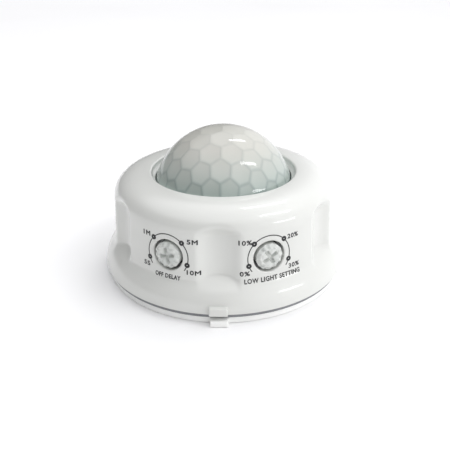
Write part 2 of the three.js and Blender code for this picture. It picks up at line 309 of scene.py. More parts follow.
def carve(piece: bpy.types.Object, tools: list[tuple[Cut, bpy.types.Object]], sharp: float = 35) -> None:
    """Join tools to a piece or cut them out of it, then throw the tools away.

    Args:
        piece: The piece that is changed.
        tools: What to do, and the closed mesh to do it with, in order.
        sharp: Angle in degrees above which an edge of the result is shaded sharp.
    """
    for deed, tool in tools:
        cut = piece.modifiers.new(deed.name.lower(), "BOOLEAN")
        cut.operation, cut.object, cut.solver = deed.value, tool, "EXACT"
    bpy.context.view_layer.update()
    finished = bpy.data.meshes.new_from_object(piece.evaluated_get(bpy.context.evaluated_depsgraph_get()))
    piece.modifiers.clear()
    old, piece.data = piece.data, finished
    bpy.data.meshes.remove(old)
    finished.name = piece.name
    merge_doubles(finished, 1e-6)
    for _, tool in tools:
        shape = tool.data
        bpy.data.objects.remove(tool)
        bpy.data.meshes.remove(shape)
    shade(finished, sharp)


# ---------------------------------------------------------------- finishes


def add_node(
    tree: bpy.types.NodeTree, kind: str, settings: dict | None = None, inputs: dict | None = None
) -> bpy.types.Node:
    """Add a node, set its options, and set or link its inputs.

    Args:
        tree: The material's node tree.
        kind: Blender's name of the node type.
        settings: Option name to value.
        inputs: Input name or index to a value, or to the output socket that feeds it.

    Returns:
        The new node.
    """
    made = tree.nodes.new(kind)
    for key, value in (settings or {}).items():
        setattr(made, key, value)
    for key, value in (inputs or {}).items():
        if isinstance(value, bpy.types.NodeSocket):
            tree.links.new(value, made.inputs[key])
        else:
            made.inputs[key].default_value = value
    return made


@dataclass(frozen=True)
class Finish:
    """A real material's surface: its colour drifts slowly between two shades and its skin has a fine grain.

    Scales are real sizes in millimetres. The grain is a bump of the given height.
    """

    name: str
    colour: str
    shade: str
    drift_mm: float = 14
    roughness: float = 0.4
    rough_spread: float = 0.06
    grain_mm: float = 0.6
    grain_height_mm: float = 0.004
    ior: float = 1.5
    metallic: float = 0.0
    transmission: float = 0.0
    coat: float = 0.0
    coat_roughness: float = 0.1

    def coordinates(self, tree: bpy.types.NodeTree) -> bpy.types.NodeSocket:
        """Object coordinates, which are the frame's own metres."""
        return add_node(tree, "ShaderNodeTexCoord").outputs["Object"]

    def noise(
        self, tree: bpy.types.NodeTree, place: bpy.types.NodeSocket, size_mm: float, detail: float
    ) -> bpy.types.NodeSocket:
        """Add soft noise.

        Args:
            tree: The material's node tree.
            place: Where the surface is, as a vector.
            size_mm: Size of its features.
            detail: Octaves of finer noise on it.

        Returns:
            Its value, 0 to 1.
        """
        scale = 1 / (size_mm * MM)
        return add_node(
            tree, "ShaderNodeTexNoise", None, {"Vector": place, "Scale": scale, "Detail": detail}
        ).outputs["Fac"]

    def paint(self, tree: bpy.types.NodeTree, place: bpy.types.NodeSocket) -> bpy.types.NodeSocket:
        """Colour the surface: the two shades are mixed by slow noise.

        Args:
            tree: The material's node tree.
            place: Where the surface is, as a vector.

        Returns:
            The colour.
        """
        drift = self.noise(tree, place, self.drift_mm, 3)
        ramp = add_node(tree, "ShaderNodeMapRange", None, {"Value": drift, "From Min": 0.3, "From Max": 0.7})
        mix = add_node(
            tree,
            "ShaderNodeMix",
            {"data_type": "RGBA"},
            {0: ramp.outputs[0], 6: linear(self.colour), 7: linear(self.shade)},
        )
        return mix.outputs[2]

    def relief(self, tree: bpy.types.NodeTree, place: bpy.types.NodeSocket) -> bpy.types.NodeSocket:
        """Height of the skin's grain, 0 to 1."""
        return self.noise(tree, place, self.grain_mm, 2)

    def material(self) -> bpy.types.Material:
        """Build the material, unless it is already there.

        Returns:
            The material of this finish's name.
        """
        found = bpy.data.materials.get(self.name)
        if found:
            return found
        made = bpy.data.materials.new(self.name)
        made.use_nodes = True
        tree = made.node_tree
        tree.nodes.clear()
        place = self.coordinates(tree)
        rough = add_node(
            tree,
            "ShaderNodeMapRange",
            None,
            {
                "Value": self.noise(tree, place, self.drift_mm * 0.4, 4),
                "To Min": max(self.roughness - self.rough_spread, 0.02),
                "To Max": min(self.roughness + self.rough_spread, 1.0),
            },
        )
        bump = add_node(
            tree,
            "ShaderNodeBump",
            None,
            {"Height": self.relief(tree, place), "Distance": self.grain_height_mm * MM, "Strength": 1.0},
        )
        inputs = {
            "Base Color": self.paint(tree, place),
            "Roughness": rough.outputs[0],
            "Normal": bump.outputs[0],
            "IOR": self.ior,
            "Metallic": self.metallic,
            "Transmission Weight": self.transmission,
            "Coat Weight": self.coat,
            "Coat Roughness": self.coat_roughness,
        }
        surface = add_node(tree, "ShaderNodeBsdfPrincipled", None, inputs)
        add_node(tree, "ShaderNodeOutputMaterial", None, {"Surface": surface.outputs[0]})
        return made


@dataclass(frozen=True)
class CircuitBoard(Finish):
    """Solder mask over copper tracks: the tracks show as slightly paler, raised paths on a square grid."""

    track: str = "3f8f57"
    track_mm: float = 1.6

    def tracks(self, tree: bpy.types.NodeTree, place: bpy.types.NodeSocket) -> bpy.types.NodeSocket:
        """Lay the tracks along the edges of loose square cells.

        Args:
            tree: The material's node tree.
            place: Where the surface is, as a vector.

        Returns:
            1 on a track, 0 between tracks.
        """
        cells = add_node(
            tree,
            "ShaderNodeTexVoronoi",
            {"feature": "DISTANCE_TO_EDGE"},
            {"Vector": place, "Scale": 1 / (self.track_mm * 2 * MM), "Randomness": 0.75},
        )
        return add_node(
            tree,
            "ShaderNodeMapRange",
            None,
            {"Value": cells.outputs["Distance"], "From Min": 0.10, "From Max": 0.06},
        ).outputs[0]

    def paint(self, tree: bpy.types.NodeTree, place: bpy.types.NodeSocket) -> bpy.types.NodeSocket:
        """Colour the solder mask, paler over the tracks.

        Args:
            tree: The material's node tree.
            place: Where the surface is, as a vector.

        Returns:
            The colour.
        """
        ground = super().paint(tree, place)
        mix = add_node(
            tree,
            "ShaderNodeMix",
            {"data_type": "RGBA"},
            {0: self.tracks(tree, place), 6: ground, 7: linear(self.track)},
        )
        return mix.outputs[2]

    def relief(self, tree: bpy.types.NodeTree, place: bpy.types.NodeSocket) -> bpy.types.NodeSocket:
        """The tracks stand up under the mask."""
        return self.tracks(tree, place)


@dataclass(frozen=True)
class FacetedPlastic(Finish):
    """Milky plastic over a dim hollow, with the honeycomb of its inner face showing through.

    The lens stores two numbers at every point: a mask, 1 along the edges of its cells, and facet, the
    height of the cell's face. Painted shade darkens the cell edges, most low on the dome, and darkens the
    foot of the dome, which is also greener with the lens's own tint; the layer under the polish is shaded
    by the facets' slopes while the coat over it stays smooth.
    """

    # painted shade: below 33 mm the dome takes this darker colour, blending back to the body by 47 mm; its
    # green is the lens's own tint
    foot: str = "aab9b4"
    # painted shade along the cell edges, full strength low on the dome, fading to about a tenth near its top
    crease_shade: str = "6b7f80"
    crease_shade_strength: float = 0.45
    foot_mm: tuple[float, float] = (33.0, 47.0)

    def paint(self, tree: bpy.types.NodeTree, place: bpy.types.NodeSocket) -> bpy.types.NodeSocket:
        """Colour the plastic by height and by nearness to a cell's edge: painted shade, darker and greener
        low on the dome and darker along the cell edges.

        Args:
            tree: The material's node tree.
            place: Where the surface is, as a vector.

        Returns:
            The colour.
        """
        body = super().paint(tree, place)
        height = add_node(tree, "ShaderNodeSeparateXYZ", None, {0: place}).outputs["Z"]
        # painted shade: darker and greener towards the foot of the dome
        rise = add_node(tree, "ShaderNodeMapRange", None, {
            "Value": height, "From Min": self.foot_mm[0] * MM, "From Max": self.foot_mm[1] * MM,
        })
        by_height = add_node(tree, "ShaderNodeMix", {"data_type": "RGBA"}, {
            0: rise.outputs[0], 6: linear(self.foot), 7: body,
        })
        # painted shade: darker along the cell edges, faded towards the top of the dome
        near = add_node(tree, "ShaderNodeAttribute", {"attribute_name": "crease_shade"}).outputs["Fac"]
        fade = add_node(tree, "ShaderNodeMapRange", None, {
            "Value": height, "From Min": self.foot_mm[0] * MM, "From Max": (self.foot_mm[1] + 3) * MM,
            "To Min": self.crease_shade_strength, "To Max": self.crease_shade_strength * 0.12,
        })
        part = add_node(tree, "ShaderNodeMath", {"operation": "MULTIPLY"}, {0: near, 1: fade.outputs[0]})
        mix = add_node(tree, "ShaderNodeMix", {"data_type": "RGBA"}, {
            0: part.outputs[0], 6: by_height.outputs[2], 7: linear(self.crease_shade),
        })
        return mix.outputs[2]

    def relief(self, tree: bpy.types.NodeTree, place: bpy.types.NodeSocket) -> bpy.types.NodeSocket:
        """Height of the facets under the polish."""
        return add_node(tree, "ShaderNodeAttribute", {"attribute_name": "facet"}).outputs["Fac"]


# Injection-moulded white polycarbonate from a polished tool: satin gloss, very slightly warm grey
HOUSING = Finish(
    "moulded_polycarbonate_white", "dcddd9", "d9dad6", 22, 0.36, 0.03, 1.4, 0.0012, 1.5, coat=0.8,
    coat_roughness=0.05,
)
# The base's polycarbonate painted a shade whiter than the cover's, as painted light from the white table
# under it
LIT_BASE_PLASTIC = Finish(
    "moulded_polycarbonate_base_painted_light", "fafaf8", "f6f7f4", 22, 0.36, 0.03, 1.4, 0.0012, 1.5, coat=0.5,
    coat_roughness=0.08,
)
# Milky high-density polyethylene with a polished face: glassy highlights over soft, sunken-looking cells,
# with painted shade darkening the cell edges and the lower part of the dome
LENS = FacetedPlastic(
    "milky_polyethylene_lens", "cccbc4", "c8c8c0", 9, 0.5, 0.04, 0.8, 0.42, 1.35, transmission=0.06,
    coat=0.85, coat_roughness=0.02,
)
# Clear polycarbonate knobs with a frosted core: bright edges, greyish in the recesses
KNOB = Finish(
    "frosted_polycarbonate_knob", "e4e6e2", "d2d6d2", 3, 0.14, 0.05, 0.5, 0.006, 1.5, transmission=0.15,
    coat=0.6, coat_roughness=0.05,
)
# Grey silicone seal: matt, slightly soft at the edges
SILICONE = Finish("moulded_silicone_grey", "8b8d90", "7f8184", 8, 0.62, 0.06, 0.3, 0.006, 1.41)
# The same silicone painted paler, as painted light, for the seals deep behind the knobs where the gap lies
# in shade
LIT_SILICONE = Finish("moulded_silicone_painted_light", "b9babb", "afb0b2", 4, 0.5, 0.06, 0.3, 0.006, 1.41)
# The same silicone with more pigment, for the grommet: dull and dark against the white base
DARK_SILICONE = Finish("moulded_silicone_dark", "5c5e61", "515356", 6, 0.6, 0.06, 0.3, 0.006, 1.41)
# Pad-printed ink: near black, a little uneven where the pad lifted
INK = Finish("pad_printed_ink", "17181a", "2a2b2d", 0.8, 0.5, 0.08, 0.15, 0.003, 1.5)
# Black glass-filled nylon straight from the mould: a dull sheen, slightly mottled
BLACK_NYLON = Finish("moulded_nylon_black", "1d1e20", "27282a", 7, 0.5, 0.08, 0.4, 0.006, 1.53)
# Rolled and stamped brass: warm, with a soft mirror broken by the rolling
BRASS = Finish("stamped_brass", "c8a552", "b8923f", 5, 0.3, 0.08, 0.25, 0.003, metallic=1.0)
# Zinc-plated steel screws: bluish grey with a satin shine
STEEL = Finish("zinc_plated_steel", "b9bcc2", "a4a8ae", 3, 0.32, 0.08, 0.2, 0.004, metallic=1.0)
# Drawn can with nickel plating: brighter and warmer than the screws
NICKEL_CAN = Finish("nickel_plated_can", "cfcac0", "bdb8ae", 4, 0.2, 0.05, 0.3, 0.002, metallic=1.0)
# Polished silicon with an infrared coating: a dark violet mirror
SILICON_FILTER = Finish(
    "coated_silicon_filter", "2a2030", "3a2c3c", 3, 0.08, 0.02, 1.0, 0.001, 1.5, coat=0.5,
)
# Water-clear cast epoxy: nearly invisible but for its bright edges
CLEAR_EPOXY = Finish(
    "cast_clear_epoxy", "dfe6ea", "d2dadf", 3, 0.06, 0.02, 1.0, 0.001, 1.55, transmission=0.8,
)
# Sintered ferrite: near black, chalky, with a fine sandy skin
FERRITE = Finish("sintered_ferrite", "2f3032", "3b3c3e", 2, 0.7, 0.1, 0.25, 0.02, 1.6)
# Polyester winding tape: glossy yellow with soft wrinkles about 1.2 mm apart
POLYESTER_TAPE = Finish("yellow_polyester_tape", "d6ae2c", "c79a1e", 4, 0.35, 0.08, 1.2, 0.02, 1.57)
# Moulded flame-retardant case: mustard yellow with a dull shine
FILM_CASE = Finish("yellow_film_case", "c8951c", "b88414", 5, 0.38, 0.06, 0.4, 0.006, 1.52)
# PVC sleeve shrunk on a can: dark blue and glossy, faintly rippled
SHRINK_SLEEVE = Finish("blue_shrink_sleeve", "16284d", "1d335f", 5, 0.3, 0.06, 0.8, 0.008, 1.54)
# Solder mask over copper on glass laminate: green, paler where the tracks raise it
SOLDER_MASK = CircuitBoard("green_solder_mask", "14562f", "1a6337", 6, 0.35, 0.05, 0.4, 0.03, 1.5)


def dress(piece: bpy.types.Object, finish: Finish, slot: str, body: Body, *nodes: str) -> None:
    """Give a new piece its finish, the body it rides on and the CAD nodes it stands for.

    Args:
        piece: The new piece.
        finish: What its surface is.
        slot: Not used.
        body: The body that carries it.
        *nodes: The CAD nodes it replaces.
    """
    if not piece.data.materials:
        piece.data.materials.append(finish.material())
    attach(piece, body.value)
    if nodes:
        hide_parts(*nodes)
    LOG.info("%s: %d faces on body %s", piece.name, len(piece.data.polygons), body.value)


# ---------------------------------------------------------------- the cover's form


@dataclass(frozen=True)
class CoverForm:
    """Outer form of the cover, shared by its mesh, its dial holes and the print on it."""

    bottom: float = 3.7
    flange_radius: float = 43.0
    bell_centre_radius: float = 30.0
    bell_foot: float = 4.1
    bell_height: float = 11.3
    wall_radius: float = 39.0
    wall_foot: float = 16.1
    shoulder_radius: float = 38.4
    shoulder_foot: float = 26.84
    rim_radius: float = 25.1
    top: float = 36.17
    shoulder_power: float = 2.7
    flutes: int = 6
    flute_azimuth: float = -2.4
    flute_centre: float = 46.5
    flute_round: float = 10.3
    flute_runout: float = 3.0
    grip_edge: float = 1.25
    foot_fillet: float = 1.9

    def bell(self, z: Array) -> Array:
        """Radius of the flared skirt: a quarter ellipse from the flange, bell_height tall."""
        t = np.clip((z - self.bell_foot) / self.bell_height, 0, 1)
        return self.bell_centre_radius + (self.flange_radius - self.bell_centre_radius) * np.sqrt(1 - t * t)

    def draft(self, z: Array) -> Array:
        """Radius of the plain wall, which leans in evenly from its foot to the shoulder."""
        t = (z - self.wall_foot) / (self.shoulder_foot - self.wall_foot)
        return self.wall_radius + (self.shoulder_radius - self.wall_radius) * t

    def channel(self, azimuth: Array, z: Array) -> Array:
        """Radius of the finger grips' floor, or a large one between the grips.

        Each grip is an upright cylinder of radius flute_round about a line flute_centre from the lens axis,
        so at an angle b from its middle the floor is at flute_centre cos b - root(flute_round^2 -
        (flute_centre sin b)^2). It leans in with the wall and runs out smoothly at the shoulder.

        Args:
            azimuth: Azimuth in degrees.
            z: Height.

        Returns:
            The floor's radius.
        """
        pitch = 360 / self.flutes
        turn = (azimuth - self.flute_azimuth) / pitch
        off = np.radians((turn - np.round(turn)) * pitch)
        inside = self.flute_round**2 - (self.flute_centre * np.sin(off)) ** 2
        floor = self.flute_centre * np.cos(off) - np.sqrt(np.clip(inside, 0, None))
        lean = self.draft(z) - self.wall_radius + self.flute_runout * smooth_step(28, 32.5, z)
        return np.where(inside > 0, floor, 60.0) + lean

    def plain(self, z: Array) -> Array:
        """Find the outer radius between the grips.

        It is the larger of skirt and wall, with their corner rounded, and above them the shoulder, at
        rim + (shoulder - rim) (1 - t^p)^(1/p) for the rise t from 0 to 1.

        Args:
            z: Height.

        Returns:
            The radius.
        """
        rise = np.clip((z - self.shoulder_foot) / (self.top - self.shoulder_foot), 0, 1)
        bend = (1 - rise**self.shoulder_power) ** (1 / self.shoulder_power)
        shoulder = self.rim_radius + (self.shoulder_radius - self.rim_radius) * bend
        wall = smooth_max(self.bell(z), self.draft(z), self.foot_fillet)
        return np.where(z > self.shoulder_foot, shoulder, wall)

    def cut_in(self, azimuth: Array, radius: Array, z: Array, wall: float = 0.0) -> Array:
        """Radius of a point of the turned form once the grips are cut.

        It is the smaller of the turned radius and the grips' floor, but never less than the bell below.

        Args:
            azimuth: Azimuth in degrees.
            radius: Radius of the turned form there.
            z: Height.
            wall: Thickness taken off, for the inner face.

        Returns:
            The radius with the grips cut in.
        """
        soft = self.grip_edge + 0.5 * smooth_step(24, 31, z)
        cut = smooth_min(radius, self.channel(azimuth, z) - wall, soft)
        kept = smooth_max(cut, np.minimum(self.bell(z) - wall, radius), self.foot_fillet)
        return np.where(z < 20, np.minimum(kept, radius), cut)

    def radius(self, azimuth: Array, z: Array) -> Array:
        """Outer radius of the cover at an azimuth and a height."""
        return self.cut_in(azimuth, self.plain(z), z)

    def shoulder(self, inset: float, start: float, end: float, count: int) -> Array:
        """Points of the shoulder's superellipse between two angles in degrees.

        They are at r = rim + (shoulder - rim - inset) cos^(2/p) a and z = foot + (top - foot - inset)
        sin^(2/p) a.

        Args:
            inset: How far inside the outer face the points lie.
            start: First angle.
            end: Last angle.
            count: Number of points.

        Returns:
            Points of (radius, z).
        """
        angle = np.radians(np.linspace(start, end, count))
        power = 2 / self.shoulder_power
        wide = self.shoulder_radius - self.rim_radius - inset
        high = self.top - self.shoulder_foot - inset
        return np.column_stack([
            self.rim_radius + wide * np.abs(np.cos(angle)) ** power,
            self.shoulder_foot + high * np.abs(np.sin(angle)) ** power,
        ])

    def on_wall(self, azimuth: float, across: Array, up: Array, lift: Array) -> Array:
        """Wrap flat drawing coordinates onto the wall round a point of it.

        Args:
            azimuth: Azimuth of the drawing's origin in degrees.
            across: Distance to the right along the wall.
            up: Height.
            lift: Distance out of the wall.

        Returns:
            Points in the frame, in millimetres.
        """
        turn = azimuth + np.degrees(across / self.wall_radius)
        radius = self.radius(turn, up) + lift
        angle = np.radians(turn)
        return np.column_stack([radius * np.sin(angle), -radius * np.cos(angle), up])


# ---------------------------------------------------------------- the dials


@dataclass(frozen=True)
class Label:
    """A word or number printed beside a dial: its middle, width and height from the dial's centre."""

    words: str
    across: float
    up: float
    width: float
    height: float = 1.6


@dataclass
class Dial:
    """One setting dial: the hole in the wall, its knob and the scale printed round it."""

    name: str
    azimuth: float
    body: Body
    labels: list[Label]
    knob_turn: float
    height: float = 20.5
    hole_radius: float = 5.2
    hole_edge: float = 0.48
    knob_radius: float = 4.36
    knob_face: float = 39.25
    knob_back: float = 33.9
    stem_radius: float = 1.5
    stem_end: float = 30.6
    scale_radius: float = 7.15
    scale_line: float = 0.3
    scale_ends: tuple[float, float] = (-36.0, 216.0)
    marks: tuple[float, ...] = (-18.0, 45.0, 135.0, 198.0)
    mark_radius: float = 0.52
    mark_line: float = 0.7
    ink_height: float = 0.045

    def outward(self, across: Array, up: Array, distance: Array) -> Array:
        """Place points given in the dial's own directions.

        Args:
            across: Distance to the right of the dial's axis.
            up: Height above it.
            distance: Distance from the lens axis, along the dial's axis.

        Returns:
            Points in the frame, in millimetres.
        """
        angle = np.radians(self.azimuth)
        x = across * np.cos(angle) + distance * np.sin(angle)
        y = across * np.sin(angle) - distance * np.cos(angle)
        return np.stack([x, y, self.height + up], axis=-1)

    def hole_cutter(self, form: CoverForm) -> bpy.types.Object:
        """Tool for the dial's hole, flared where it meets the wall so that the hole's edge is rounded.

        A ring of the tool at angle t has radius rho. Its distance from the lens axis is the wall's own
        distance there less a step, so the flare follows the curved wall.

        Args:
            form: The cover's outer form.

        Returns:
            The closed tool.
        """
        turn = np.linspace(0, 2 * np.pi, 128, endpoint=False)
        bend = np.radians(np.linspace(0, 90, 7))
        radii = np.concatenate([
            [0, self.hole_radius],
            self.hole_radius + self.hole_edge * (1 - np.cos(bend)),
            [self.hole_radius + self.hole_edge + 0.1, 0],
        ])
        depths = np.concatenate([[7, 7], self.hole_edge * (1 - np.sin(bend)), [-2, -2]])
        rho, depth = radii[:, None], depths[:, None]
        across, up = rho * np.cos(turn), rho * np.sin(turn)
        wall = form.radius(self.azimuth + np.degrees(across / 38.7), self.height + up)
        distance = np.sqrt(wall**2 - across**2) - depth
        points = self.outward(across, up, distance)
        tool = make_piece(f"{self.name}_hole", points, grid_faces(len(radii), len(turn), False, True))
        face_outwards(tool)
        return tool

    def knob_relief(self, rho: Array, turn: Array) -> Array:
        """Height of the knob's face at radius rho and angle turn, in millimetres.

        The rim is scalloped by a cosine of twelve waves, four petals stand up round the middle, and a cross
        for the screwdriver is sunk 0.9 mm with soft sides.

        Args:
            rho: Distance from the knob's axis.
            turn: Angle round it in radians.

        Returns:
            The height.
        """
        x, y = rho * np.cos(turn), rho * np.sin(turn)
        narrow, long = np.minimum(np.abs(x), np.abs(y)), np.maximum(np.abs(x), np.abs(y))
        cross = (1 - smooth_step(0.3, 0.72, narrow)) * (1 - smooth_step(2.1, 2.7, long))
        middle_band = smooth_step(0.6, 1.6, rho) * (1 - smooth_step(2.3, 3.0, rho))
        petals = 0.18 * np.cos(4 * turn + np.pi) * middle_band
        waves = 0.16 * np.cos(12 * turn) * smooth_step(2.8, 3.4, rho)
        crown = 0.75 * (1 - smooth_step(3.2, 4.35, rho)) - 0.75
        return petals + waves + crown - 0.9 * cross

    def knob(self) -> bpy.types.Object:
        """Make the knob: a sculpted face, a barrel whose edge is scalloped, and a stem.

        Returns:
            The closed knob, turned to where it is set.
        """
        turn = np.linspace(0, 2 * np.pi, 192, endpoint=False)
        rho = np.linspace(0, self.knob_radius, 60)[:, None]
        edge = 1 + 0.008 * np.cos(12 * turn) * smooth_step(3.2, 4.3, rho)
        face_radius = rho * edge
        face = self.knob_face + self.knob_relief(rho, turn[None, :])
        side = np.array([
            [self.knob_radius, self.knob_face - 1.5], [self.knob_radius, self.knob_back + 0.3],
            [self.knob_radius - 0.3, self.knob_back], [self.stem_radius, self.knob_back],
            [self.stem_radius, self.stem_end + 0.3], [self.stem_radius - 0.3, self.stem_end],
            [0, self.stem_end],
        ])
        radius = np.vstack([face_radius, np.broadcast_to(side[:, :1], (len(side), len(turn)))])
        distance = np.vstack([face, np.broadcast_to(side[:, 1:], (len(side), len(turn)))])
        set_to = turn + np.radians(self.knob_turn)
        points = self.outward(radius * np.cos(set_to), radius * np.sin(set_to), distance)
        faces = grid_faces(len(radius), len(turn), False, True)
        piece = make_piece(f"{self.name}_knob_body", points, faces, 50)
        face_outwards(piece)
        return piece

    def ribbon(self, path: Array, width: float, closed: bool) -> tuple[Array, Array]:
        """Flat drawing of a line of ink with thickness.

        Args:
            path: Points of its middle as (across, up).
            width: Width of the line.
            closed: Whether the path is a loop.

        Returns:
            Points as (across, up, lift), and the faces between them.
        """
        ahead = np.roll(path, -1, axis=0) - np.roll(path, 1, axis=0)
        if not closed:
            ahead[0], ahead[-1] = path[1] - path[0], path[-1] - path[-2]
        ahead /= np.linalg.norm(ahead, axis=1, keepdims=True)
        aside = np.column_stack([-ahead[:, 1], ahead[:, 0]]) * width / 2
        left, right = path + aside, path - aside
        low, high = np.full((len(path), 1), -self.ink_height), np.full((len(path), 1), self.ink_height)
        rows = [np.hstack(row) for row in ((right, high), (left, high), (left, low), (right, low))]
        faces = grid_faces(4, len(path), True, closed)
        if not closed:
            first = np.arange(4) * len(path)
            faces = np.vstack([faces, first[::-1], first + len(path) - 1])
        return np.vstack(rows), faces

    def circle(
        self, centre: tuple[float, float], radius: float, ends: tuple[float, float], count: int
    ) -> Array:
        """Points of an arc in the flat drawing."""
        angle = np.radians(np.linspace(*ends, count))
        return np.column_stack([centre[0] + radius * np.cos(angle), centre[1] + radius * np.sin(angle)])

    def scale_arcs(self) -> list[tuple[float, float]]:
        """Find the stretches of the scale's line between its marks.

        Returns:
            First and last angle of each, in degrees.
        """
        gap = np.degrees(self.mark_radius / self.scale_radius)
        sides = [mark + side * gap for mark in self.marks for side in (-1, 1)]
        stops = [self.scale_ends[0], *sides, self.scale_ends[1]]
        return list(zip(stops[::2], stops[1::2]))

    def lettering(self, label: Label) -> tuple[Array, Array]:
        """Flat drawing of one label, stretched to its width and height.

        It is cut into upright strips 0.3 mm wide, so that it can follow the round wall.

        Args:
            label: The words and their place.

        Returns:
            Points as (across, up, lift), and the triangles between them.
        """
        curve = bpy.data.curves.new("lettering", "FONT")
        curve.body, curve.resolution_u = label.words, 3
        curve.extrude, curve.bevel_depth, curve.space_character = 0.5, 0.028, 1.14
        text = bpy.data.objects.new("lettering", curve)
        bpy.context.scene.collection.objects.link(text)
        bpy.context.view_layer.update()
        mesh = bpy.data.meshes.new_from_object(text.evaluated_get(bpy.context.evaluated_depsgraph_get()))
        work = bmesh.new()
        work.from_mesh(mesh)
        bmesh.ops.remove_doubles(work, verts=work.verts, dist=1e-5)
        bmesh.ops.triangulate(work, faces=work.faces)
        span = [vertex.co.x for vertex in work.verts]
        strips = np.linspace(min(span), max(span), int(label.width / 0.3) + 2)[1:-1]
        for across in strips:
            geometry = [*work.verts, *work.edges, *work.faces]
            bmesh.ops.bisect_plane(work, geom=geometry, plane_co=(across, 0, 0), plane_no=(1, 0, 0))
        bmesh.ops.triangulate(work, faces=work.faces)
        work.to_mesh(mesh)
        work.free()
        points = np.empty(len(mesh.vertices) * 3)
        mesh.vertices.foreach_get("co", points)
        points = points.reshape(-1, 3)
        faces = np.empty(len(mesh.polygons) * 3, int)
        mesh.polygons.foreach_get("vertices", faces)
        bpy.data.objects.remove(text)
        bpy.data.curves.remove(curve)
        bpy.data.meshes.remove(mesh)
        low, high = points.min(axis=0), points.max(axis=0)
        unit = (points - (low + high) / 2) / (high - low)
        points = unit * [label.width, label.height, 2 * self.ink_height] + [label.across, label.up, 0]
        return points, faces.reshape(-1, 3)

    def print_on(self, form: CoverForm) -> bpy.types.Object:
        """Print the scale, its marks and the labels as one thin skin of ink, wrapped onto the wall.

        Args:
            form: The cover's outer form.

        Returns:
            The print.
        """
        drawings = [
            self.ribbon(self.circle((0, 0), self.scale_radius, ends, 40), self.scale_line, False)
            for ends in self.scale_arcs()
        ]
        for mark in self.marks:
            (centre,) = self.circle((0, 0), self.scale_radius, (mark, mark), 1)
            ring = self.circle(tuple(centre), self.mark_radius, (0, 352.5), 48)
            drawings.append(self.ribbon(ring, self.mark_line, True))
        drawings += [self.lettering(label) for label in self.labels]
        points, quads, triangles, offset = [], [], [], 0
        for flat, faces in drawings:
            (quads if faces.shape[1] == 4 else triangles).append(faces + offset)
            points.append(form.on_wall(self.azimuth, flat[:, 0], self.height + flat[:, 1], flat[:, 2]))
            offset += len(flat)
        corners = np.vstack(quads)
        split = np.vstack([corners[:, [0, 1, 2]], corners[:, [0, 2, 3]], *triangles])
        piece = make_piece(f"{self.name}_print", np.vstack(points), split)
        face_outwards(piece)
        return piece


# ---------------------------------------------------------------- the head


@dataclass
class Cover:
    """The moulded cover: a fluted shell with a flared skirt, a rounded shoulder and the lens well."""

    form: CoverForm = field(default_factory=CoverForm)
    thickness: float = 2.2
    segments: int = 400
    tab_azimuth: float = -2.5
    tab_size: tuple[float, float, float] = (6.0, 4.0, 2.8)
    tab_height: float = 5.25

    def outline(self) -> tuple[Array, Array]:
        """Draw the closed profile of the turned form.

        It runs up the outer face, over the shoulder and the rim, down the lens well, round the seat that
        takes the lens's flange and its ring, and back down inside the wall.

        Returns:
            Points of (radius, z), and how much wall each of them has outside it.
        """
        form = self.form
        heights = np.concatenate([
            np.linspace(4.3, 10.5, 14), np.linspace(10.8, 16.4, 30), np.linspace(17, 26.4, 15),
        ])
        wall = np.column_stack([form.plain(heights), heights])
        outer = np.vstack([
            arc((form.flange_radius - 0.35, form.bottom + 0.35), 0.35, -90, 0, 6),
            wall,
            form.shoulder(0, 0, 85, 40),
            arc((form.rim_radius + 0.7, form.top - 0.7), 0.7, 90, 180, 9),
            [[24.95, form.top - 1.3], [24.6, 34.45], [24.2, 34.1], [23.9, 33.95], [23.8, 33.75],
             [24.05, 33.0], [25.1, 32.2]],
        ])
        inner_heights = np.linspace(25.5, 4.2, 34)
        inner_wall = form.plain(inner_heights) - self.thickness
        inner = np.vstack([
            [[25.1, 27.0], [27.1, 27.0], [27.1, 33.2], [27.4, 33.5], [28.9, 33.5], [29.2, 33.2],
             [29.2, 23.7], [30.6, 23.7], [30.6, 33.0]],
            form.shoulder(self.thickness, 52, 0, 14),
            np.column_stack([inner_wall, inner_heights]),
            [[form.flange_radius - self.thickness, form.bottom]],
        ])
        walls = np.concatenate([np.zeros(len(outer)), np.full(len(inner), self.thickness)])
        return np.vstack([outer, inner]), walls

    def shell(self) -> bpy.types.Object:
        """Turn the outline and cut the finger grips into both faces of the wall.

        Returns:
            The closed shell.
        """
        profile, walls = self.outline()
        azimuth = np.linspace(0, 360, self.segments, endpoint=False)
        radius = np.broadcast_to(profile[:, :1], (len(profile), self.segments))
        z = np.broadcast_to(profile[:, 1:], radius.shape)
        gripped = self.form.cut_in(azimuth[None, :], radius, z, 0.0)
        inner = self.form.cut_in(azimuth[None, :], radius, z, self.thickness)
        gripped = np.where(walls[:, None] > 0, inner, gripped)
        gripped = np.where(radius > 31.5, gripped, radius)
        angle = np.radians(azimuth)
        points = np.stack([gripped * np.sin(angle), -gripped * np.cos(angle), z], axis=-1)
        return make_piece("cover_shell", points, grid_faces(len(profile), self.segments, True, True), 50)

    def tab(self) -> bpy.types.Object:
        """The small tab on the skirt that lines up with the one on the base."""
        centre = np.array([0, -(self.form.flange_radius + 1.3 - self.tab_size[1] / 2), self.tab_height])
        return rounded_block("cover_tab", self.tab_size, centre, self.tab_azimuth, 0.45)

    def build(self, dials: list[Dial]) -> None:
        """Make the cover, open its dial holes and dress it.

        Args:
            dials: The dials in its wall.
        """
        shell = self.shell()
        tools = [(Cut.JOIN, self.tab())]
        tools += [(Cut.REMOVE, dial.hole_cutter(self.form)) for dial in dials]
        carve(shell, tools, 40)
        dress(shell, HOUSING, "white_housing", Body.HEAD, "top_cover")
        for dial in dials:
            dress(dial.print_on(self.form), INK, "black_plastic", Body.HEAD)
            dress(dial.knob(), KNOB, "knob", dial.body, f"{dial.name}_knob")


